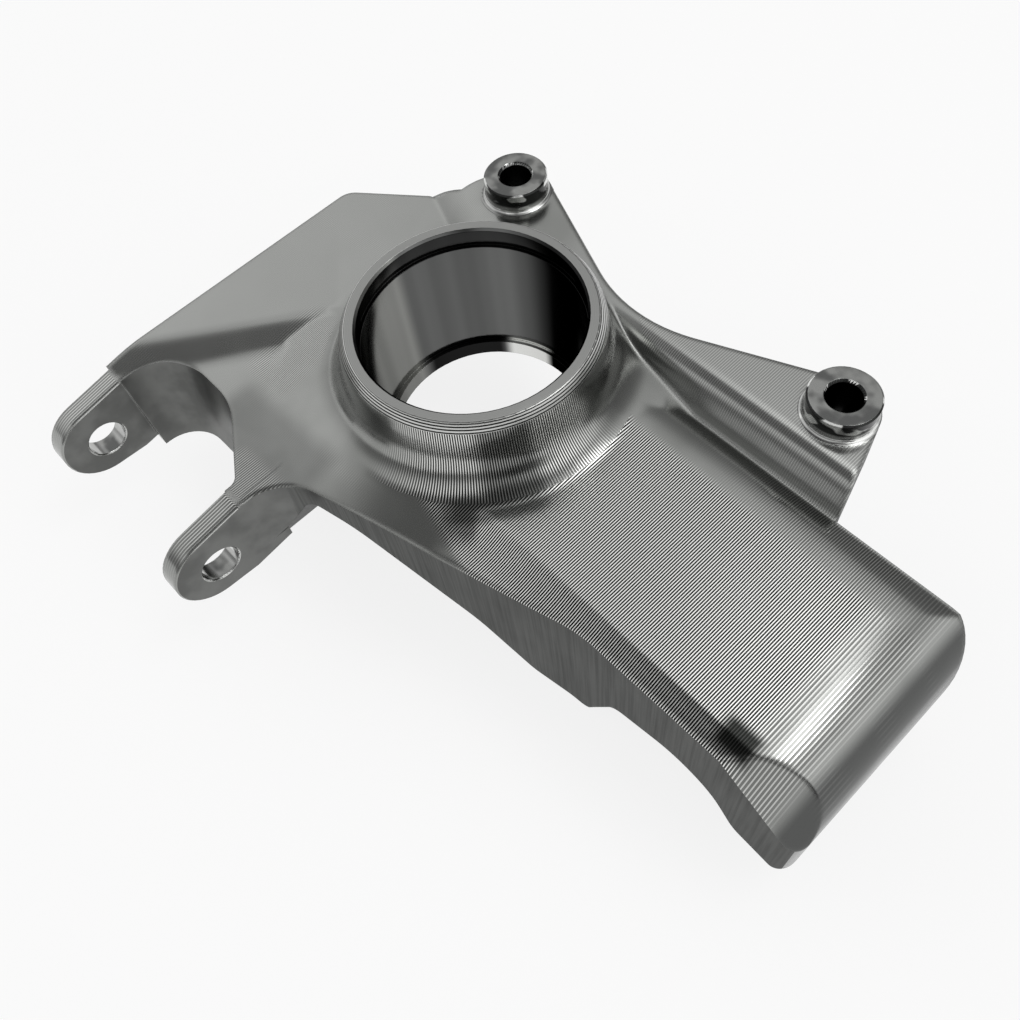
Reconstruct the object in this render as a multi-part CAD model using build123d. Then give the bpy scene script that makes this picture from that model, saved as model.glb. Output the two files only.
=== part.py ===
from build123d import *
import os
from math import asin, atan2, cos, hypot, radians, sin

# Steering knuckle machined from one billet of aluminium, in millimetres.
# +Z points outboard along the wheel bearing bore, +X runs down the lower arm to its nose, and
# the clevis ears hang off the -Y side. Depths are positive lengths down from the hub's rim, and
# the finished part is raised so that its origin lies at the centre of the bearing's seat.

overrun = 5.0
reach = 400.0
steepness_share = 0.15

# Hub: a stepped bearing bore in a rim that flares into the arm
bore_radius = 42.0
bore_chamfer = 0.9
ring_groove_start = 5.8
ring_groove_width = 3.4
ring_groove_depth = 1.5
seat_depth = 64.0
lip_radius = 40.0
hub_depth = 70.9
rim_radius = 46.5
rim_shoulder_radius = 48.8
rim_shoulder_depth = 3.6
rim_break = 1.0
hub_foot_radius = 53.0
hub_flare_radius = 17.5
hub_base_radius = 63.6
skirt_radius = 88.0
skirt_drop = 6.5
barrel_radius = 52.0
barrel_chamfer = 1.5

# Arm and nose block
arm_top = 28.0
nose_end = 196.8
nose_round = 26.3
nose_far_corner = 15.0
nose_near_corner = 6.0
nose_bottom = 87.6
near_wall = 51.3
far_wall = 39.5
near_ridge = 43.5
near_ridge_round = 8.0
near_edge_drop = 3.5
near_edge_round = 30.0
wall_edge_round = 0.9
far_ridge = 18.5
far_edge_drop = 5.0
wall_bend_x = 103.0
wall_bend_round = 60.0
shoulder_x = 168.0
shoulder_edge_drop = 7.6
shoulder_fall = 17.4
shoulder_run = 22.0
shoulder_rise = 9.7
shoulder_width = 8.3

# Underside of the arm: a lobe and an end leg with an arch between them
root_arch_start_x = -24.0
root_arch_x = -10.0
root_arch_top = 43.0
root_arch_round = 7.0
belly_start_x = 10.0
belly_start_depth = 46.0
belly_round = 40.0
belly_x = 60.0
belly_depth = 72.5
lobe_start_run = 23.0
lobe_start_rise = 9.5
lobe_start_round = 14.0
lobe_x = 105.0
lobe_depth = 103.5
lobe_round = 4.0
arch_start_run = 14.0
arch_start_drop = 10.3
arch_start_round = 12.0
arch_x = 148.0
arch_top = 63.2
arch_round = 28.0
leg_side_run = 11.0
leg_side_drop = 5.3
leg_side_round = 20.0
leg_width = 21.8
leg_start_rise = 4.1
leg_start_round = 8.0
leg_round = 5.0
leg_hole_radius = 4.25
leg_hole_y = -13.5
leg_hole_drop = 68.0
leg_hole_length = 26.0
leg_hole_countersink = 1.2

# Caliper flange with its two bosses
flange_top = 20.0
flange_bottom = 43.5
boss_spacing = 162.9
boss_start_x = -49.5
boss_y = 68.0
boss_top = 11.04
boss_radius = 13.0
boss_edge_break = 0.6
boss_foot_round = 1.9
boss_foot_radius = 15.2
boss_hole_radius = 6.3
boss_countersink = 0.9
flange_round = 14.1
flange_edge_break = 0.5
waist_x = 31.0
waist_y = 48.8
waist_round = 62.0
flange_end_x = 136.4
flange_end_y = 41.6
crease_y = 47.8
crease_round = 9.0
valley_y = 40.0
valley_depth = 33.0
fold_x = -70.4
fold_y = 54.4
fold_angle = -23.0
fold_run = 10.0
fold_round = 25.0

# Web between the hub, the far edge and the clevis
web_top = 30.0
web_bottom = 52.0
web_edge_break = 0.4
web_root_top = 34.0
web_root_bottom = 71.0
web_root_back_y = -60.0
web_step_y = -90.0
web_step_angle = 55.0
web_step_run = 13.0
web_step_round = 24.0
far_edge_x = -114.6
far_corner_y = 25.5
far_corner_round = 9.0
far_slant_x = -84.9
far_slant_y = 48.1

# Clevis ears: two plates across a bolt that lies along X
ear_thickness = 9.6
ear_gap = 74.0
ear_bolt_y = -119.5
ear_bolt_depth = 56.4
ear_bolt_radius = 8.0
ear_tip_y = -121.0
ear_tip_depth = 55.4
ear_tip_radius = 17.6
ear_root_y = -102.0
ear_top_y = -101.0
ear_heel_y = -108.0
ear_heel_depth = 73.8
ear_heel_round = 6.0
ear_edge_break = 0.6
ear_inset_y = -90.0
pocket_floor_y = -76.3
pocket_first_round = 24.0
pocket_slant_x = -63.0
pocket_slant_round = 30.0
pocket_side_y = -97.0
pocket_side_round = 5.0
pocket_draft = 12.0
wall_root_x = 3.0
wall_root_y = -77.3
wall_sweep_round = 21.8

boss_end_x = boss_start_x + boss_spacing
boss_centres = [(boss_start_x, boss_y), (boss_end_x, boss_y)]
ear_1_inner_x = far_edge_x + ear_thickness
ear_2_inner_x = ear_1_inner_x + ear_gap
ear_2_outer_x = ear_2_inner_x + ear_thickness
ear_bolt = (ear_bolt_y, -ear_bolt_depth)
ear_tip = (ear_tip_y, -ear_tip_depth)


def rounded_face(corners):
    """Flat face through (x, y, corner radius) points."""
    face = make_face(Polyline(*[(x, y) for x, y, radius in corners], close=True))
    for x, y, radius in corners:
        if radius:
            corner = face.vertices().sort_by_distance((x, y))[0]
            face = fillet(corner, radius)
    return face


def tangent_point(centre, radius, outside, side):
    """Where the line from an outside point touches a circle, turned left (1) or right (-1)."""
    run_x, run_y = outside[0] - centre[0], outside[1] - centre[1]
    swing = side * (radians(90) - asin(radius / hypot(run_x, run_y)))
    heading = atan2(run_y, run_x) + swing
    return centre[0] + radius * cos(heading), centre[1] + radius * sin(heading)


def near_wall_y(x):
    """Y of the near wall's slanting stretch, at a place along the arm."""
    slope = (-near_wall - wall_root_y) / (wall_bend_x - wall_root_x)
    return wall_root_y + slope * (x - wall_root_x)


def plan_prism(top, bottom):
    """The whole outline seen along the bore, without the ears, between two depths."""
    first, last = boss_centres
    fold = (fold_x, fold_y)
    waist = (waist_x, waist_y)
    flange_end = (flange_end_x, flange_end_y)
    outline = rounded_face([
        (far_edge_x, ear_root_y, 0),
        (ear_2_outer_x, ear_root_y, 0),
        (ear_2_outer_x, near_wall_y(ear_2_outer_x), wall_sweep_round),
        (wall_bend_x, -near_wall, wall_bend_round),
        (nose_end, -near_wall, nose_near_corner),
        (nose_end, far_wall, nose_far_corner),
        (flange_end_x, far_wall, 0),
        (*flange_end, 0),
        (*tangent_point(last, flange_round, flange_end, 1), 0),
        (*tangent_point(last, flange_round, waist, -1), 0),
        (*waist, waist_round),
        (*tangent_point(first, flange_round, waist, 1), 0),
        (*tangent_point(first, flange_round, fold, -1), 0),
        (*fold, 0),
        (far_slant_x, far_slant_y, 0),
        (far_edge_x, far_corner_y, far_corner_round),
    ])
    for centre in boss_centres:
        outline += Pos(*centre) * Circle(flange_round)
    return Pos(0, 0, -bottom) * extrude(outline, amount=bottom - top)


def slope_cutter(crease, angle, descent):
    """Everything above a descent of (run, depth, corner radius) points, right of a crease line."""
    profile = rounded_face([
        (-reach, 0, 0),
        *descent,
        (reach, -reach, 0),
        (-reach, -reach, 0),
    ])
    along = Vector(cos(radians(angle)), sin(radians(angle)), 0)
    across = Vector(sin(radians(angle)), -cos(radians(angle)), 0)
    return Plane(origin=crease, x_dir=across, z_dir=along) * extrude(profile, amount=reach)


def rim_edges(solid):
    """Edges where a solid's upright walls meet its top."""
    upright = ShapeList(face for face in solid.faces() if abs(face.normal_at().Z) < steepness_share)
    tops = ShapeList(face for face in solid.faces() if face.normal_at().Z > steepness_share)
    return upright.edges() & tops.edges()


def make_arm():
    """Arm and nose: cross-section, side profile and plan outline, each cutting the others."""
    section = make_face([
        Polyline(
            (far_wall, -arm_top - far_edge_drop),
            (far_wall, -lobe_depth - overrun),
            (ear_root_y, -lobe_depth - overrun),
            (ear_root_y, -web_root_top),
            (-near_wall, -arm_top - near_edge_drop),
            (-near_ridge, -arm_top),
            (far_ridge, -arm_top),
        ),
        TangentArc((far_ridge, -arm_top), (far_wall, -arm_top - far_edge_drop), tangent=(1, 0)),
    ])
    for y, z, radius in [
        (-near_wall, -arm_top - near_edge_drop, near_edge_round),
        (-near_ridge, -arm_top, near_ridge_round),
    ]:
        section = fillet(section.vertices().sort_by_distance((y, z))[0], radius)
    leg_start_x = nose_end - leg_width
    profile = rounded_face([
        (root_arch_start_x, 0, 0),
        (root_arch_start_x, -web_root_bottom, 0),
        (root_arch_x, -root_arch_top, root_arch_round),
        (belly_start_x, -belly_start_depth, belly_round),
        (belly_x, -belly_depth, belly_round),
        (lobe_x - lobe_start_run, -lobe_depth + lobe_start_rise, lobe_start_round),
        (lobe_x, -lobe_depth, lobe_round),
        (lobe_x + arch_start_run, -arch_top - arch_start_drop, arch_start_round),
        (arch_x, -arch_top, arch_round),
        (leg_start_x - leg_side_run, -arch_top - leg_side_drop, leg_side_round),
        (leg_start_x, -nose_bottom + leg_start_rise, leg_start_round),
        (nose_end, -nose_bottom, leg_round),
        (nose_end, -arm_top, nose_round),
        (wall_bend_x, -arm_top, 0),
        (wall_bend_x, 0, 0),
    ])
    arm = plan_prism(0, lobe_depth)
    arm &= Plane.YZ.offset(root_arch_start_x) * extrude(section, amount=reach)
    arm &= extrude(Plane.XZ * profile, amount=reach, both=True)
    shoulder = Plane(
        origin=(shoulder_x, -near_wall, -arm_top - shoulder_edge_drop),
        x_dir=(shoulder_run, 0, -shoulder_fall),
        z_dir=(shoulder_fall / shoulder_run, -shoulder_rise / shoulder_width, 1),
    )
    arm -= shoulder * Box(reach, reach, reach, align=(Align.CENTER, Align.CENTER, Align.MIN))
    wall_edges = [
        edge for edge in rim_edges(arm)
        if (edge @ 0.5).Y < -near_ridge
        and root_arch_start_x < (edge @ 0.5).X < nose_end - nose_near_corner
        and (edge @ 0.5).Y > ear_root_y
    ]
    return fillet(wall_edges, wall_edge_round)


def make_flange():
    """Caliper flange: the plan's far strip, with a slope down to the arm and one to the web."""
    flange = plan_prism(flange_top, flange_bottom)
    far_side = Box(2 * reach, reach, reach, align=(Align.CENTER, Align.MIN, Align.CENTER))
    flange &= Pos(0, far_ridge, 0) * far_side
    slope = (valley_depth - flange_top) / (crease_y - valley_y)
    flange -= slope_cutter(
        (root_arch_start_x, crease_y, -flange_top), 0, [(0, 0, crease_round), (reach, reach * slope, 0)]
    )
    start_x = fold_x - reach / 2 * cos(radians(fold_angle))
    start_y = fold_y - reach / 2 * sin(radians(fold_angle))
    slope = (web_top - flange_top) / fold_run
    flange -= slope_cutter(
        (start_x, start_y, -flange_top), fold_angle, [(0, 0, fold_round), (reach, reach * slope, 0)]
    )
    outer_edges = rim_edges(flange).filter_by_position(Axis.Z, -flange_top, -flange_top)
    return chamfer(outer_edges, flange_edge_break)


def make_web():
    """Web plate with a thicker root behind the clevis, its top stepped down towards the ears."""
    behind = Box(reach, reach, reach, align=(Align.CENTER, Align.MAX, Align.CENTER))
    root = plan_prism(web_root_top, web_root_bottom) & Pos(0, web_root_back_y, 0) * behind
    step = web_root_top - web_top
    start_x = far_edge_x - reach / 2 * cos(radians(web_step_angle))
    start_y = web_step_y - reach / 2 * sin(radians(web_step_angle))
    plate = plan_prism(web_top, web_bottom) - slope_cutter(
        (start_x, start_y, -web_top),
        web_step_angle,
        [(0, 0, web_step_round), (web_step_run, step, web_step_round), (reach, step, 0)],
    )
    beside = Box(reach, reach, reach, align=(Align.MAX, Align.CENTER, Align.CENTER))
    web = (plate + root) & Pos(root_arch_start_x, 0, 0) * beside
    outer_edges = [
        edge for edge in rim_edges(web)
        if (edge @ 0.5).X < root_arch_start_x and (edge @ 0.5).Y > ear_root_y
    ]
    return chamfer(outer_edges, web_edge_break)


def make_ear():
    """One clevis ear, from its rounded tip to its root in the web, at X = 0."""
    top = (ear_top_y, -web_root_top)
    heel = (ear_heel_y, -ear_heel_depth)
    tip_top = tangent_point(ear_tip, ear_tip_radius, top, 1)
    tip_heel = tangent_point(ear_tip, ear_tip_radius, heel, -1)
    side = make_face([
        ThreePointArc(tip_top, (ear_tip_y - ear_tip_radius, -ear_tip_depth), tip_heel),
        Polyline(
            tip_heel,
            heel,
            (ear_inset_y, -web_root_bottom),
            (ear_inset_y, -web_root_top),
            top,
            tip_top,
        ),
    ])
    side = fillet(side.vertices().sort_by_distance(heel)[0], ear_heel_round)
    side -= Pos(*ear_bolt) * Circle(ear_bolt_radius)
    ear = extrude(Plane.YZ * side, amount=ear_thickness)
    faces = ear.faces().filter_by(Axis.X)
    free_edges = [edge for edge in faces.edges() if edge.bounding_box().min.Y < ear_root_y]
    return chamfer(free_edges, ear_edge_break)


def clevis_cutter():
    """Open space between the ears: a straight slot, and a drafted pocket in the web's root."""
    mouth_y = ear_tip_y - ear_tip_radius - overrun
    pocket = rounded_face([
        (ear_1_inner_x, mouth_y, 0),
        (ear_2_inner_x, mouth_y, 0),
        (ear_2_inner_x, pocket_side_y, pocket_side_round),
        (pocket_slant_x, pocket_floor_y, pocket_slant_round),
        (ear_1_inner_x, pocket_floor_y, pocket_first_round),
    ])
    rim = Pos(0, 0, -web_root_top)
    depth = web_root_bottom + overrun - web_root_top
    drafted = extrude(rim * pocket, amount=depth, dir=(0, 0, -1), taper=pocket_draft)
    gap = Box(ear_gap, reach, reach, align=(Align.MIN, Align.MAX, Align.CENTER))
    slot = Pos(ear_1_inner_x, ear_root_y, 0) * gap
    return drafted + extrude(rim * pocket, amount=web_root_top) + slot


def make_hub():
    """Rim, flare and skirt turned about the bore, and the plain barrel below."""
    skirt_slope = skirt_drop / (skirt_radius - hub_base_radius)
    foot_depth = arm_top - skirt_slope * (hub_base_radius - hub_foot_radius)
    flare = rounded_face([
        (0, 0, 0),
        (rim_radius, 0, rim_break),
        (rim_shoulder_radius, -rim_shoulder_depth, 0),
        (hub_foot_radius, -foot_depth, hub_flare_radius),
        (skirt_radius, -arm_top - skirt_drop, 0),
        (skirt_radius, -flange_bottom, 0),
        (0, -flange_bottom, 0),
    ])
    hub = revolve(Plane.XZ * flare, Axis.Z) & plan_prism(0, flange_bottom)
    barrel = rounded_face([
        (0, -arm_top, 0),
        (barrel_radius, -arm_top, 0),
        (barrel_radius, -hub_depth + barrel_chamfer, 0),
        (barrel_radius - barrel_chamfer, -hub_depth, 0),
        (0, -hub_depth, 0),
    ])
    return hub + revolve(Plane.XZ * barrel, Axis.Z)


def bore_cutter():
    """Bearing bore with its ring groove, its end lip and the chamfer at the rim."""
    groove_end = ring_groove_start + ring_groove_width
    groove_radius = bore_radius + ring_groove_depth
    profile = make_face(Polyline(
        (0, overrun),
        (bore_radius + bore_chamfer + overrun, overrun),
        (bore_radius, -bore_chamfer),
        (bore_radius, -ring_groove_start),
        (groove_radius, -ring_groove_start),
        (groove_radius, -groove_end),
        (bore_radius, -groove_end),
        (bore_radius, -seat_depth),
        (lip_radius, -seat_depth),
        (lip_radius, -hub_depth - overrun),
        (0, -hub_depth - overrun),
        close=True,
    ))
    return revolve(Plane.XZ * profile, Axis.Z)


def make_boss():
    """Caliper boss without its hole, turned about Z."""
    profile = rounded_face([
        (0, -flange_bottom, 0),
        (boss_foot_radius, -flange_bottom, 0),
        (boss_foot_radius, -flange_top, 0),
        (boss_radius, -flange_top, boss_foot_round),
        (boss_radius, -boss_top - boss_edge_break, 0),
        (boss_radius - boss_edge_break, -boss_top, 0),
        (0, -boss_top, 0),
    ])
    return revolve(Plane.XZ * profile, Axis.Z)


def hole_cutter(radius, length, countersink):
    """Hole down from the XY plane with a 45 degree countersink at its mouth."""
    profile = make_face(Polyline(
        (0, overrun),
        (radius + countersink + overrun, overrun),
        (radius, -countersink),
        (radius, -length),
        (0, -length),
        close=True,
    ))
    return revolve(Plane.XZ * profile, Axis.Z)


def make_knuckle():
    """The whole knuckle as one solid."""
    knuckle = make_arm() + make_web() - clevis_cutter()
    knuckle += make_flange()
    knuckle += make_hub() - clevis_cutter()
    for x in (far_edge_x, ear_2_inner_x):
        knuckle += Pos(x, 0, 0) * make_ear()
    boss_hole = hole_cutter(boss_hole_radius, web_bottom - boss_top + overrun, boss_countersink)
    outline = plan_prism(0, flange_bottom)
    for x, y in boss_centres:
        knuckle += Pos(x, y, 0) * make_boss() & outline
        knuckle -= Pos(x, y, -boss_top) * boss_hole
    knuckle -= bore_cutter()
    leg_face = Plane(origin=(nose_end, leg_hole_y, -leg_hole_drop), x_dir=(0, 1, 0), z_dir=(1, 0, 0))
    knuckle -= leg_face * hole_cutter(leg_hole_radius, leg_hole_length, leg_hole_countersink)
    return Pos(0, 0, (ring_groove_start + ring_groove_width + seat_depth) / 2) * knuckle


os.makedirs("parts", exist_ok=True)
export_step(make_knuckle(), "parts/steering_knuckle.step")
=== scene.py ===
import bpy
from math import hypot, radians
from mathutils import Matrix, Vector


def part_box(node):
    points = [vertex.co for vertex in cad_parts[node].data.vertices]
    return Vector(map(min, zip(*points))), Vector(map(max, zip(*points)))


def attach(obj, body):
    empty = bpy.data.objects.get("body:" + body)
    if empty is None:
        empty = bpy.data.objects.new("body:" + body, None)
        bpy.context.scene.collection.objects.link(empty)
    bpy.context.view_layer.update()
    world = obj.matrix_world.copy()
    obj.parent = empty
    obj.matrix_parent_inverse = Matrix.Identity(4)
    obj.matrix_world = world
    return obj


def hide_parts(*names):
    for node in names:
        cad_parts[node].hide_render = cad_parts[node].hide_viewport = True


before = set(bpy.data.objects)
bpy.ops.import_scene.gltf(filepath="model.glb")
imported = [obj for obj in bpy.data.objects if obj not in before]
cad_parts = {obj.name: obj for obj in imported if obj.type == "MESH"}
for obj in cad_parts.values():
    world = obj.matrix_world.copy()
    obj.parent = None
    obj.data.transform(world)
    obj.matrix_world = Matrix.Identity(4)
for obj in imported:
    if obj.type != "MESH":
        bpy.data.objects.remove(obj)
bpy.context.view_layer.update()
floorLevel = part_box("steering_knuckle")[0].z  # the knuckle's lowest point
mm = 0.001


# Shader maths as Python expressions

class Wire:
    def __init__(self, shader, socket):
        self.shader = shader
        self.socket = socket

    def math(self, operation, *values):
        inputs = {place: value for place, value in enumerate((self, *values))}
        return self.shader.node("ShaderNodeMath", {"operation": operation}, inputs)

    def __add__(self, other):
        return self.math("ADD", other)

    def __mul__(self, other):
        return self.math("MULTIPLY", other)

    def __sub__(self, other):
        return self.math("SUBTRACT", other)

    def __rsub__(self, other):
        return (self * -1) + other

    def __truediv__(self, other):
        return self.math("DIVIDE", other)

    __radd__ = __add__
    __rmul__ = __mul__

    def fract(self):
        return self.math("FRACT")

    def floor(self):
        return self.math("FLOOR")

    def larger(self, *others):
        wire = self
        for other in others:
            wire = wire.math("MAXIMUM", other)
        return wire

    def step(self, low, high):  # 0 below low, 1 above high, smooth between
        inputs = {"Value": self, "From Min": low, "From Max": high}
        return self.shader.node("ShaderNodeMapRange", {"interpolation_type": "SMOOTHSTEP"}, inputs)

    def band(self, low, high, soft):  # 1 from low to high, fading to 0 over soft outside
        return self.step(low - soft, low) * (1 - self.step(high, high + soft))

    def part(self, name):
        return self.shader.node("ShaderNodeSeparateXYZ", {}, {"Vector": self}, name)

    def vector(self, operation, *values):
        inputs = {place: value for place, value in enumerate((self, *values))}
        return self.shader.node("ShaderNodeVectorMath", {"operation": operation}, inputs)

    def length(self):
        settings = {"operation": "LENGTH"}
        return self.shader.node("ShaderNodeVectorMath", settings, {0: self}, "Value")

    def stretch(self, factor):  # a vector times a number
        inputs = {"Vector": self, "Scale": factor}
        return self.shader.node("ShaderNodeVectorMath", {"operation": "SCALE"}, inputs)


class Shader:
    def __init__(self, tree):
        self.tree = tree
        tree.nodes.clear()

    def node(self, kind, settings, inputs, output=0):
        made = self.tree.nodes.new(kind)
        for name, value in settings.items():
            setattr(made, name, value)
        for name, value in inputs.items():
            if isinstance(value, Wire):
                self.tree.links.new(value.socket, made.inputs[name])
            else:
                made.inputs[name].default_value = value
        return Wire(self, made.outputs[output] if made.outputs else None)

    def noise(self, place, size, detail=2.0):  # size is the width of one blotch
        inputs = {"Vector": place, "Scale": 1 / size, "Detail": detail}
        return self.node("ShaderNodeTexNoise", {}, inputs)

    def mix(self, share, first, second):
        inputs = {"Factor": share, 6: first, 7: second}  # the mix node's two colours
        return self.node("ShaderNodeMix", {"data_type": "RGBA"}, inputs, 2)

    def join(self, x, y, z):
        return self.node("ShaderNodeCombineXYZ", {}, {0: x, 1: y, 2: z})


# Machined aluminium: each finish reads the part's own coordinates, in millimetres

flattened = (1.0, 1.0, 0.0)


def newMetal(name, edgeRound):
    material = bpy.data.materials.new(name)
    material.use_nodes = True
    shader = Shader(material.node_tree)
    place = shader.node("ShaderNodeTexCoord", {}, {}, "Object").stretch(1 / mm)
    normal = shader.node("ShaderNodeBevel", {"samples": 8}, {"Radius": edgeRound * mm})
    return material, shader, place, normal


def finishMetal(shader, colour, roughness, normal, edge=(1, 1, 1, 1)):
    inputs = {
        "Base Color": colour,
        "Metallic": 1.0,
        "Roughness": roughness,
        "Normal": normal,
        "Specular Tint": edge,
    }
    surface = shader.node("ShaderNodeBsdfPrincipled", {}, inputs)
    shader.node("ShaderNodeOutputMaterial", {}, {"Surface": surface})


def leaned(normal, direction, lean):  # the normal tipped by lean towards a direction
    return normal.vector("ADD", direction.stretch(lean)).vector("NORMALIZE")


def ruled(shader, distance, pitch):  # the saw from -0.5 to 0.5 across each line, and its chance
    chanceSize = 1.7
    line = distance / pitch
    return line.fract() - 0.5, shader.noise(shader.join(line.floor(), 0.0, 0.0), chanceSize)


raster = {  # parallel cutter marks in planes across the arm, coloured with painted highlight and painted shade
    "paintedHighlight": (0.95, 0.955, 0.93, 1),
    "paintedShade": (0.012, 0.013, 0.012, 1),
    "plain": (0.30, 0.305, 0.295, 1),
    "plainDark": (0.255, 0.26, 0.25, 1),
    # painted shade, for the nose end and the web beside the pocket
    "noseEnd": (0.10, 0.102, 0.10, 1),
    # painted light, for the far web and the flange side
    "web": (0.32, 0.325, 0.315, 1),
    "pitch": 0.92,
    "troughWidth": (0.04, 0.62, 0.07),  # the painted shade's share of each mark
    "slope": 0.15,  # how far each mark's sides lean
    "unevenSlope": 0.4,  # no two marks lean quite alike
    "deepest": 0.96,  # how much of a mark's colour shows where it is deepest
    "blend": 3.0,  # how softly its surfaces run into each other
    "roughness": 0.20,
    "roughnessSpread": 0.12,
    "blotch": 24.0,
}
marks = {  # where they run, in millimetres from the hub's axis, and how strong they are
    "footRadius": 62.0,  # inside it they run down the hub's wall
    "footSoft": 0.4,
    "hubMeanRadius": 52.0,  # where the marks on the hub have their pitch
    "hubSide": (-1.0, -0.2, 0.5),  # an angle round the hub
    "hubStrength": 0.85,
    "armStart": (0, 34),
    "armEnd": (181, 187),
    "nearCorner": 54,  # the marks start along a slanted line from the near side
    "nearSlant": 4.2,
    "nearEdge": (14, 34),
    "flangeEdge": (34, 44),
    "flangeFade": 0.82,
    "fold": (23, 41, 5),
    "foldEnd": (90, 130),  # the smooth fold beside the flange fades towards the nose
    "foldEndFade": 0.5,
    "noseStart": 167.44,  # a whole number of marks from the hub
    "noseWider": 0.3,  # how much further apart they stand on the nose
    "noseEdge": (162, 172),
    "noseFade": 0.6,
    "earEdge": (-103, -100),
    "earWider": 0.33,
    "earTip": (-136, -122),
    "earStrength": 0.32,
    "faint": (0.45, 0.7),
    "faintStretch": (0.02, 0.05),
    "faintStrength": 0.06,
}
patches = {  # two limits, each from, to and how softly it ends, and the patch's strength; webFan and earRoot deepen the marks, and the other three are painted shade
    "webFan": ((-69, -51, 8), (-56, -30, 10), 0.22),
    "earRoot": ((-39, -15, 6), (-100, -88, 6), 0.3),
    "pocketSide": ((-60, -12, 9), (-101, -70, 9), 0.45),
    # painted shade at the end of the near ridge
    "paintedShadeRidge": ((159, 167, 5), (-46, -40, 4), 0.95),
    "paintedShadeFoot": ((62, 67, 4), (-0.85, -0.45, 0.15), 0.6),  # painted shade, by radius and angle
}
tones = {  # how the smooth surfaces' grey changes along the part: random blotches, painted shade at the nose end and on the hub, and painted light on the far web and the flange side
    "blotches": (0.3, 0.7),
    "noseEnd": (184, 190),
    "webEdge": (-75, -50),
    "webPaler": 0.9,
    "bossSide": ((-20, 0), (34, 50)),
    "bossSidePaler": 0.8,
    "paintedShadeHub": (-0.66, -0.4, 0.12),  # painted shade over an angle round the hub
    "paintedShadeHubStrength": 0.6,
}


def patch(first, second, name):
    across, along, strength = patches[name]
    return first.band(*across) * second.band(*along) * strength


def markedDepth(shader, x, y, angle, onHub, onEar):  # 0 where the surface is smooth
    nearSide = (x + (y + marks["nearCorner"]) * marks["nearSlant"]).step(*marks["nearEdge"])
    arm = nearSide * x.step(*marks["armStart"]) * (1 - x.step(*marks["armEnd"])) * (1 - onHub)
    flange = 1 - y.step(*marks["flangeEdge"]) * marks["flangeFade"]
    foldEnd = 1 - x.step(*marks["foldEnd"]) * marks["foldEndFade"]
    fold = 1 - y.band(*marks["fold"]) * foldEnd
    nose = 1 - x.step(*marks["noseEdge"]) * marks["noseFade"]
    hubSide = angle.band(*marks["hubSide"]) * onHub * marks["hubStrength"]
    depth = (arm * nose * flange * fold).larger(hubSide)
    stretchX, stretchY = marks["faintStretch"]
    cloud = shader.noise(shader.join(x * stretchX, y * stretchY, 0.0), 1.0)
    faint = cloud.step(*marks["faint"]) * marks["faintStrength"]
    onWeb = (patch(x, y, "webFan") + patch(x, y, "earRoot") + faint) * (1 - onHub)
    return depth.larger(onWeb) + onEar * y.step(*marks["earTip"]) * marks["earStrength"]


def plainTone(shader, x, y, blotch):
    plain = shader.mix(blotch.step(*tones["blotches"]), raster["plain"], raster["plainDark"])
    # painted shade: the nose end darker
    plain = shader.mix(x.step(*tones["noseEnd"]), plain, raster["noseEnd"])
    # painted light: the flange side and the far web paler
    limitX, limitY = tones["bossSide"]
    bossSide = x.step(*limitX) * y.step(*limitY) * tones["bossSidePaler"]
    paler = (1 - x.step(*tones["webEdge"])) * tones["webPaler"] + bossSide
    plain = shader.mix(paler, plain, raster["web"])
    # painted shade: the web beside the pocket darker
    return shader.mix(patch(x, y, "pocketSide"), plain, raster["noseEnd"])


def makeRasterMetal():
    material, shader, place, normal = newMetal("raster_milled_aluminium", raster["blend"])
    x, y = place.part("X"), place.part("Y")
    radius = place.vector("MULTIPLY", flattened).length()
    angle = y.math("ARCTAN2", x)
    footStart = marks["footRadius"] - marks["footSoft"]
    onHub = 1 - radius.step(footStart, marks["footRadius"] + marks["footSoft"])
    onEar = 1 - y.step(*marks["earEdge"])
    onNose = x.math("GREATER_THAN", marks["noseStart"])
    wider = onEar * marks["earWider"] + onNose * marks["noseWider"]
    fromStart = x - onNose * marks["noseStart"]
    sawArm, chanceArm = ruled(shader, fromStart, wider + raster["pitch"])
    sawHub, chanceHub = ruled(shader, angle * marks["hubMeanRadius"], raster["pitch"])
    saw = sawArm * (1 - onHub) + sawHub * onHub
    chance = chanceArm * (1 - onHub) + chanceHub * onHub
    depth = markedDepth(shader, x, y, angle, onHub, onEar)
    lean = (saw * -2 + (chance - 0.5) * raster["unevenSlope"]) * depth * raster["slope"]
    # painted highlight and painted shade alternate across each mark
    paintedShade = (saw + 0.5).band(*raster["troughWidth"])
    tone = shader.mix(paintedShade, raster["paintedHighlight"], raster["paintedShade"])
    blotch = shader.noise(place, raster["blotch"])
    colour = shader.mix(depth * raster["deepest"], plainTone(shader, x, y, blotch), tone)
    # painted shade on the hub, round its foot and at the ridge's end
    paintedShadeHub = onHub * angle.band(*tones["paintedShadeHub"]) * tones["paintedShadeHubStrength"]
    paintedShadeShare = paintedShadeHub.larger(patch(radius, angle, "paintedShadeFoot"), patch(x, y, "paintedShadeRidge"))
    colour = shader.mix(paintedShadeShare, colour, raster["paintedShade"])
    smoothest = raster["roughness"] - raster["roughnessSpread"] / 2
    roughness = blotch * raster["roughnessSpread"] + smoothest
    alongX = y / radius * onHub * -1 + (1 - onHub)  # across the marks, on the arm and on the hub
    across = shader.join(alongX, x / radius * onHub, 0.0)
    finishMetal(shader, colour, roughness, leaned(normal, across, lean))
    return material


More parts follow.
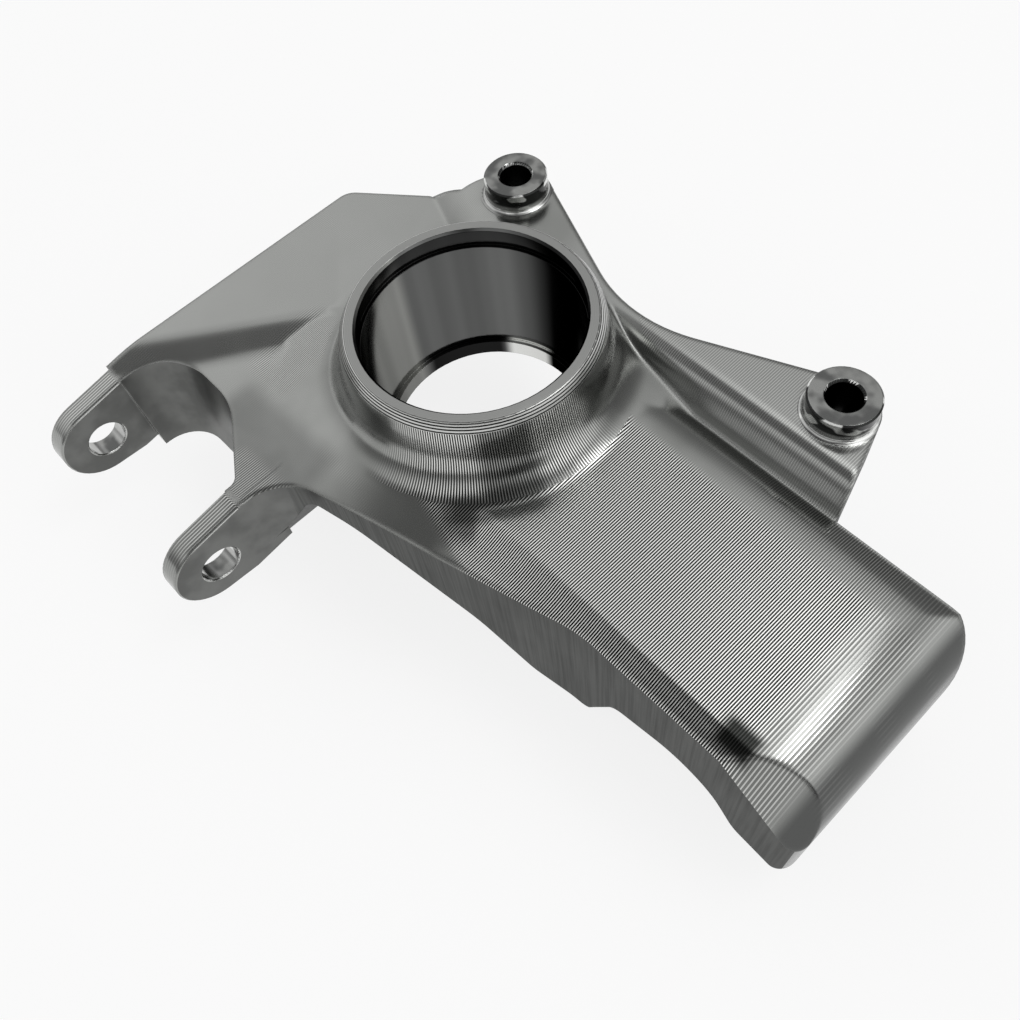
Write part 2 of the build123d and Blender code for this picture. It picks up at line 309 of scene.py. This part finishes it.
turned = {  # the hub's rim: a smooth flat ring inside, sharp rings outside, each with a line of painted shade
    "bright": (0.62, 0.625, 0.61, 1),
    "dark": (0.012, 0.013, 0.012, 1),
    "pitch": 0.62,
    "ringsFrom": (45.6, 46.6),
    "ringWidth": (0.1, 0.5, 0.08),
    "ringLean": 0.5,
    "flatLean": 0.02,
    "unevenLean": 0.05,
    "ringStrength": 0.94,
    "flatStrength": 0.03,
    "flatShade": 0.55,
    "edgeRound": 0.5,
    "roughness": 0.3,
}


def makeTurnedMetal():
    material, shader, place, normal = newMetal("turned_aluminium", turned["edgeRound"])
    flat = place.vector("MULTIPLY", flattened)
    radius = flat.length()
    saw, chance = ruled(shader, radius, turned["pitch"])
    ringed = radius.step(*turned["ringsFrom"])
    lean = saw * (ringed * turned["ringLean"] + turned["flatLean"])
    lean = lean + (chance - 0.5) * turned["unevenLean"]
    # painted shade: a dark line in each sharp ring
    rings = (saw + 0.5).band(*turned["ringWidth"])
    rings = rings * (ringed * turned["ringStrength"] + turned["flatStrength"])
    shade = rings + (1 - ringed) * turned["flatShade"]
    colour = shader.mix(shade, turned["bright"], turned["dark"])
    outward = flat.vector("NORMALIZE")
    finishMetal(shader, colour, turned["roughness"], leaned(normal, outward, lean))
    return material


bore = {  # painted reflection: light, mid and dark bands by angle round the bore; angles run from 0 at the flange side to a quarter turn at the web side
    "light": (0.30, 0.303, 0.29, 1),
    "mid": (0.14, 0.142, 0.14, 1),
    "dark": (0.016, 0.016, 0.016, 1),
    "edge": (0.35, 0.35, 0.35, 1),  # what the metal keeps of its gloss at a low angle
    "lightFrom": (1.52, 1.66),
    "lightTo": (2.5, 2.9),
    "midFrom": (0.05, 0.55),
    "midTo": (2.2, 2.6),
    "streaks": (0.35, 0.7),
    "streakTurn": 2.6,
    "streakStrength": 0.3,
    # painted shade in the groove and on the land above it, and painted shade and a painted
    # highlight on the lip
    "grooveFoot": (27.0, 27.4),
    "rimEdge": (35.7, 35.8),
    "rimFade": 0.9,
    "grooveStrength": 0.8,
    "lipTop": (-27.0, -26.0),
    "lipDark": (0.72, 1.45, 0.12),
    "lipGlint": (0.2, 0.55, 0.12),
    "glintStrength": 0.8,
    "edgeRound": 0.3,
    "roughness": 0.15,
}


def makeBoreMetal():
    material, shader, place, normal = newMetal("polished_bore", bore["edgeRound"])
    x, y, z = (place.part(axis) for axis in "XYZ")
    # painted reflection: the bore's grey by angle round it, with streaks in the mid band
    behind = (x * -1).math("ARCTAN2", y)
    streaks = shader.noise(shader.join(behind * bore["streakTurn"], 0.0, 0.0), 1.0)
    streaks = streaks.step(*bore["streaks"]) * bore["streakStrength"]
    light = behind.step(*bore["lightFrom"]) * (1 - behind.step(*bore["lightTo"]))
    mid = behind.step(*bore["midFrom"]) * (1 - behind.step(*bore["midTo"]))
    tone = shader.mix(light, bore["mid"], bore["light"])
    tone = shader.mix(mid * (streaks + (1 - bore["streakStrength"])), bore["dark"], tone)
    # painted shade: the groove and the land darker
    groove = z.step(*bore["grooveFoot"]) * (1 - z.step(*bore["rimEdge"]) * bore["rimFade"])
    tone = shader.mix(groove * bore["grooveStrength"], tone, bore["dark"])
    # painted shade and a painted highlight on the lip
    lip = 1 - z.step(*bore["lipTop"])
    tone = shader.mix(lip * behind.band(*bore["lipDark"]), tone, bore["dark"])
    glint = lip * behind.band(*bore["lipGlint"]) * bore["glintStrength"]
    colour = shader.mix(glint, tone, raster["paintedHighlight"])
    finishMetal(shader, colour, bore["roughness"], normal, bore["edge"])
    return material


boss = {  # the two caliper bosses and the walls of the ears' bolt holes, their sides painted with glints and shade
    "centres": ((-49.5, 68.0), (113.4, 68.0)),
    "between": (31, 32),
    "top": (0.27, 0.273, 0.265, 1),
    "topDark": (0.11, 0.112, 0.11, 1),
    "topBlotch": 9.0,
    "topBlotches": (0.4, 0.6),
    "topTilt": (0.85, 0.97),
    "bright": (0.75, 0.755, 0.74, 1),
    "dark": (0.03, 0.031, 0.03, 1),
    "glints": (0.5, 0.58),
    "glintStretch": (1.5, 0.22, 0.01),
    "footLine": (18.6, 20.4),  # a painted highlight runs round each boss at its foot
    "footStrength": 0.6,
    "edgeRound": 0.4,
    "roughness": 0.13,
    "roughnessSpread": 0.1,
}


def makeBossMetal():
    material, shader, place, normal = newMetal("polished_boss", boss["edgeRound"])
    x, y, z = (place.part(axis) for axis in "XYZ")
    (firstX, firstY), (secondX, secondY) = boss["centres"]
    middle = x.step(*boss["between"]) * (secondX - firstX) + firstX
    angle = (y - firstY).math("ARCTAN2", x - middle)
    # painted reflection on the sides: dark, with painted glints and a painted highlight at the
    # foot
    stretchTurn, stretchZ, stretchX = boss["glintStretch"]
    spread = shader.join(angle * stretchTurn, z * stretchZ, x * stretchX)
    glints = shader.noise(spread, 1.0, 1.0).step(*boss["glints"])
    foot = (1 - z.step(*boss["footLine"])) * boss["footStrength"]
    side = shader.mix(glints.larger(foot), boss["dark"], boss["bright"])
    blotch = shader.noise(place, boss["topBlotch"])
    top = shader.mix(blotch.step(*boss["topBlotches"]), boss["top"], boss["topDark"])
    upward = shader.node("ShaderNodeTexCoord", {}, {}, "Normal").part("Z")
    colour = shader.mix(upward.step(*boss["topTilt"]), side, top)
    roughness = blotch * boss["roughnessSpread"] + boss["roughness"]
    finishMetal(shader, colour, roughness, normal)
    return material


satin = {
    # painted shade: these steep faces get darker greys than the tops
    "light": (0.175, 0.178, 0.172, 1),
    "dark": (0.122, 0.124, 0.12, 1),
    "blotch": 16.0,
    "blotches": (0.35, 0.65),
    "grain": 0.5,
    "grainStrength": 0.1,
    "edge": (0.55, 0.555, 0.54, 1),
    "edgeHeight": (6.9, 7.7),  # a painted highlight along the top edges
    "edgeRound": 0.9,
    "roughness": 0.38,
}


def makeSatinMetal():
    material, shader, place, normal = newMetal("satin_aluminium", satin["edgeRound"])
    blotch = shader.noise(place, satin["blotch"], 3.0).step(*satin["blotches"])
    grain = shader.noise(place, satin["grain"]) * satin["grainStrength"]
    colour = shader.mix(blotch, satin["light"], satin["dark"])
    paintedEdgeHighlight = place.part("Z").step(*satin["edgeHeight"])
    colour = shader.mix(paintedEdgeHighlight, colour, satin["edge"])
    finishMetal(shader, colour, grain + satin["roughness"], normal)
    return material


wall = {
    # painted shade: the walls get darker greys than the tops
    "light": (0.165, 0.168, 0.163, 1),
    "dark": (0.095, 0.097, 0.094, 1),
    "edge": (0.5, 0.5, 0.5, 1),
    "streakStretch": (1.1, 1.1, 0.02),
    "streaks": (0.3, 0.75),
    "streakShare": 0.7,
    "patch": 30.0,
    "patches": (0.3, 0.7),
    "lean": 0.25,
    "edgeRound": 0.9,
    "roughness": 0.36,
}


def makeWallMetal():
    material, shader, place, normal = newMetal("side_milled_aluminium", wall["edgeRound"])
    streak = shader.noise(place.vector("MULTIPLY", wall["streakStretch"]), 1.0, 3.0)
    dullness = shader.noise(place, wall["patch"]).step(*wall["patches"])
    share = streak.step(*wall["streaks"]) * wall["streakShare"]
    share = share + dullness * (1 - wall["streakShare"])
    colour = shader.mix(share, wall["light"], wall["dark"])
    normal = leaned(normal, shader.join(1.0, 0.0, 0.0), (streak - 0.5) * wall["lean"])
    finishMetal(shader, colour, wall["roughness"], normal, wall["edge"])
    return material


# The knuckle: a copy of the CAD node, with a finish for each machined zone

zone = {  # places on the part, in millimetres
    "boreEdge": 42.8,
    "boreReach": 44.2,
    "boreFoot": -34.0,
    "rimFoot": 32.6,
    "rimTilt": 0.05,
    "bossEdge": 15.3,
    "bossHoleEdge": 7.3,
    "bossHoleTop": 25.15,
    "flangeTop": 16.65,
    "earBolt": (-119.5, -19.8),
    "earBoltEdge": 8.2,
    "earRoot": -101.5,
    "earSideTilt": 0.9,
    "earUnderTilt": -0.2,
    "pocketFloor": -70.0,
    "pocketSides": (-106, -15),
    "hubFoot": 66,
    "noseEnd": 180,
    "steep": 0.35,
}
knuckleMesh = {"mergeDistance": 0.002 * mm, "sharpAngle": radians(24)}


def finishOfEar(face):
    x, y, z = face.center / mm
    boltY, boltZ = zone["earBolt"]
    if hypot(y - boltY, z - boltZ) < zone["earBoltEdge"]:
        return "boss"
    onSide = abs(face.normal.x) > zone["earSideTilt"]
    return "satin" if onSide or face.normal.z < zone["earUnderTilt"] else "raster"


def finishOf(face):
    x, y, z = face.center / mm
    steep = abs(face.normal.z) < zone["steep"]
    fromAxis = hypot(x, y)
    fromBoss = min(hypot(x - place[0], y - place[1]) for place in boss["centres"])
    onRim = z > zone["rimFoot"] and face.normal.z > zone["rimTilt"]
    if onRim and fromAxis > zone["boreEdge"]:
        return "turned"
    if fromAxis < zone["boreReach"] and z > zone["boreFoot"]:
        return "bore"
    if fromBoss < zone["bossHoleEdge"] and z < zone["bossHoleTop"]:
        return "bore"
    if fromBoss < zone["bossEdge"] and z > zone["flangeTop"]:
        return "boss"
    if y < zone["earRoot"]:
        return finishOfEar(face)
    if steep and y < zone["pocketFloor"] and zone["pocketSides"][0] < x < zone["pocketSides"][1]:
        return "satin"
    if steep:
        onHub = fromAxis < zone["hubFoot"] and z > 0
        onNose = x > zone["noseEnd"] and face.normal.x > abs(face.normal.y)
        return "raster" if onHub or onNose else "wall"
    return "raster" if face.normal.z > 0 else "wall"


def buildKnuckle():
    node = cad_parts["steering_knuckle"]
    knuckle = node.copy()
    knuckle.data = node.data.copy()
    knuckle.name = "machined_knuckle"
    knuckle.parent = None
    for key in list(knuckle.keys()):
        del knuckle[key]
    bpy.context.scene.collection.objects.link(knuckle)
    bpy.ops.object.select_all(action="DESELECT")
    bpy.context.view_layer.objects.active = knuckle
    knuckle.select_set(True)
    bpy.ops.object.mode_set(mode="EDIT")
    bpy.ops.mesh.select_all(action="SELECT")
    bpy.ops.mesh.remove_doubles(threshold=knuckleMesh["mergeDistance"])
    bpy.ops.mesh.customdata_custom_splitnormals_clear()
    bpy.ops.mesh.select_mode(type="EDGE")
    bpy.ops.mesh.select_all(action="DESELECT")
    bpy.ops.mesh.edges_select_sharp(sharpness=knuckleMesh["sharpAngle"])
    bpy.ops.mesh.mark_sharp()
    bpy.ops.object.mode_set(mode="OBJECT")
    bpy.ops.object.shade_smooth()
    weighted = knuckle.modifiers.new("weighted_normals", "WEIGHTED_NORMAL")
    weighted.mode = "FACE_AREA_WITH_ANGLE"
    weighted.keep_sharp = True
    return knuckle


def dressKnuckle(knuckle):
    finishes = {
        "raster": makeRasterMetal(),
        "turned": makeTurnedMetal(),
        "bore": makeBoreMetal(),
        "boss": makeBossMetal(),
        "satin": makeSatinMetal(),
        "wall": makeWallMetal(),
    }
    knuckle.data.materials.clear()
    for finish in finishes.values():
        knuckle.data.materials.append(finish)
    names = list(finishes)
    for face in knuckle.data.polygons:
        face.material_index = names.index(finishOf(face))


# Floor, light and camera

plainWhite = (1, 1, 1, 1)
studio = {
    "floorSize": 8,
    "floorColour": (0.92, 0.92, 0.92, 1),
    "floorRoughness": 0.9,
    "floorGlow": 0.83,  # how much of the floor's white doesn't hang on the lamps
    "horizon": (0.02, 0.1),  # below it reflections see the white backdrop too
}


def seenRays(shader):  # the rays that see a background: straight, in a reflection or through glass
    rays = ("Is Camera Ray", "Is Glossy Ray", "Is Transmission Ray")
    return [shader.node("ShaderNodeLightPath", {}, {}, ray) for ray in rays]


beyond = 2.0  # past any direction's reach, so that a limit is open on that side
room = {  # lit and dark parts of the room: from, to and how softly each ends, by direction
    "top": 0.88,
    "sides": 0.50,
    "rise": (0.1, 0.8),
    "lit": (
        {
            "strength": 0.75,
            "X": (-0.25, 0.5, 0.16),
            "Y": (0.12, 0.40, 0.12),
            "Z": (0.7, beyond, 0.2),
        },
        {"strength": 0.7, "X": (0.85, beyond, 0.25), "Z": (0.1, beyond, 0.2)},
        {"strength": 0.3, "X": (-beyond, -0.8, 0.3), "Z": (0.2, beyond, 0.2)},
    ),
    "dim": (
        {
            "strength": 0.76,
            "X": (-0.38, 0.5, 0.15),
            "Y": (-0.5, 0.03, 0.11),
            "Z": (0.6, beyond, 0.2),
        },
        {"strength": 0.6, "Y": (0.75, beyond, 0.25), "Z": (-beyond, 0.55, 0.25)},
        {"strength": 0.5, "Y": (-beyond, -0.85, 0.25), "Z": (-beyond, 0.3, 0.3)},
    ),
    "gap": {
        "strength": 0.9,
        "X": (0.7, beyond, 0.2),
        "Y": (-0.62, -0.22, 0.1),
        "Z": (-0.1, 0.45, 0.1),
    },
}


def towards(sky, limits):
    share = limits["strength"]
    for axis, direction in sky.items():
        if axis in limits:
            share = direction.band(*limits[axis]) * share
    return share


def makeWorld():
    world = bpy.data.worlds.new("studio")
    bpy.context.scene.world = world
    world.use_nodes = True
    shader = Shader(world.node_tree)
    direction = shader.node("ShaderNodeTexCoord", {}, {}, "Generated")
    sky = {axis: direction.part(axis) for axis in "XYZ"}
    level = sky["Z"].step(*room["rise"]) * (room["top"] - room["sides"]) + room["sides"]
    for limits in room["lit"]:
        level = level + towards(sky, limits)
    firstDim, *otherDims = (towards(sky, limits) for limits in room["dim"])
    dim = (1 - firstDim.larger(*otherDims)) * (1 - towards(sky, room["gap"]))
    cameraRay, glossyRay, transmissionRay = seenRays(shader)
    backdrop = cameraRay + transmissionRay + glossyRay * (1 - sky["Z"].step(*studio["horizon"]))
    roomLight = {"Color": plainWhite, "Strength": level * dim}
    lit = shader.node("ShaderNodeBackground", {}, roomLight)
    white = shader.node("ShaderNodeBackground", {}, {"Color": plainWhite, "Strength": 1.0})
    surface = shader.node("ShaderNodeMixShader", {}, {0: backdrop, 1: lit, 2: white})
    shader.node("ShaderNodeOutputWorld", {}, {"Surface": surface})


def makeFloor():
    bpy.ops.mesh.primitive_plane_add(size=studio["floorSize"], location=(0, 0, floorLevel))
    floor = bpy.context.object
    floor.name = "floor"
    material = bpy.data.materials.new("floor")
    material.use_nodes = True
    shader = Shader(material.node_tree)
    inputs = {"Base Color": studio["floorColour"], "Roughness": studio["floorRoughness"]}
    matt = shader.node("ShaderNodeBsdfPrincipled", {}, inputs)
    white = shader.node("ShaderNodeEmission", {}, {"Color": plainWhite, "Strength": 1.0})
    cameraRay, glossyRay, transmissionRay = seenRays(shader)
    share = (cameraRay + glossyRay + transmissionRay) * studio["floorGlow"]
    surface = shader.node("ShaderNodeMixShader", {}, {0: share, 1: matt, 2: white})
    shader.node("ShaderNodeOutputMaterial", {}, {"Surface": surface})
    floor.data.materials.append(material)


panel = {
    "place": (0.47, 0.55, 1.4),
    "aim": (0.1, 0, 0),
    "width": 0.6,
    "depth": 0.35,
    "power": 2.1,
}


def addPanel():
    bpy.ops.object.light_add(type="AREA", location=panel["place"])
    lamp = bpy.context.object
    lamp.name = "overhead_panel"
    lamp.data.shape = "RECTANGLE"
    lamp.data.size = panel["width"]
    lamp.data.size_y = panel["depth"]
    lamp.data.energy = panel["power"]
    sight = Vector(panel["aim"]) - Vector(panel["place"])
    lamp.rotation_euler = sight.to_track_quat("-Z", "Y").to_euler()


camera = {
    "place": (0.1974, -0.1336, 0.3083),
    "azimuth": 55.6,
    "elevation": 60.05,
    "roll": -10.43,
    "lens": 35.0,
    "sensor": 36.0,
    "nearest": 0.01,
}


def makeCamera():
    data = bpy.data.cameras.new("camera")
    data.lens = camera["lens"]
    data.sensor_width = camera["sensor"]
    data.clip_start = camera["nearest"]
    lens = bpy.data.objects.new("camera", data)
    bpy.context.scene.collection.objects.link(lens)
    turn = Matrix.Rotation(radians(camera["azimuth"]), 4, "Z")
    tip = Matrix.Rotation(radians(90 - camera["elevation"]), 4, "X")
    roll = Matrix.Rotation(radians(camera["roll"]), 4, "Z")
    lens.matrix_world = Matrix.Translation(camera["place"]) @ turn @ tip @ roll
    bpy.context.scene.camera = lens


def main():
    bpy.ops.object.select_all(action="DESELECT")
    makeCamera()
    makeWorld()
    makeFloor()
    addPanel()
    print("stage, light and camera are set")
    knuckle = buildKnuckle()
    dressKnuckle(knuckle)
    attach(knuckle, "root")
    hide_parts("steering_knuckle")
    print("knuckle is dressed")


bpy.context.scene.view_settings.view_transform = "Standard"
main()
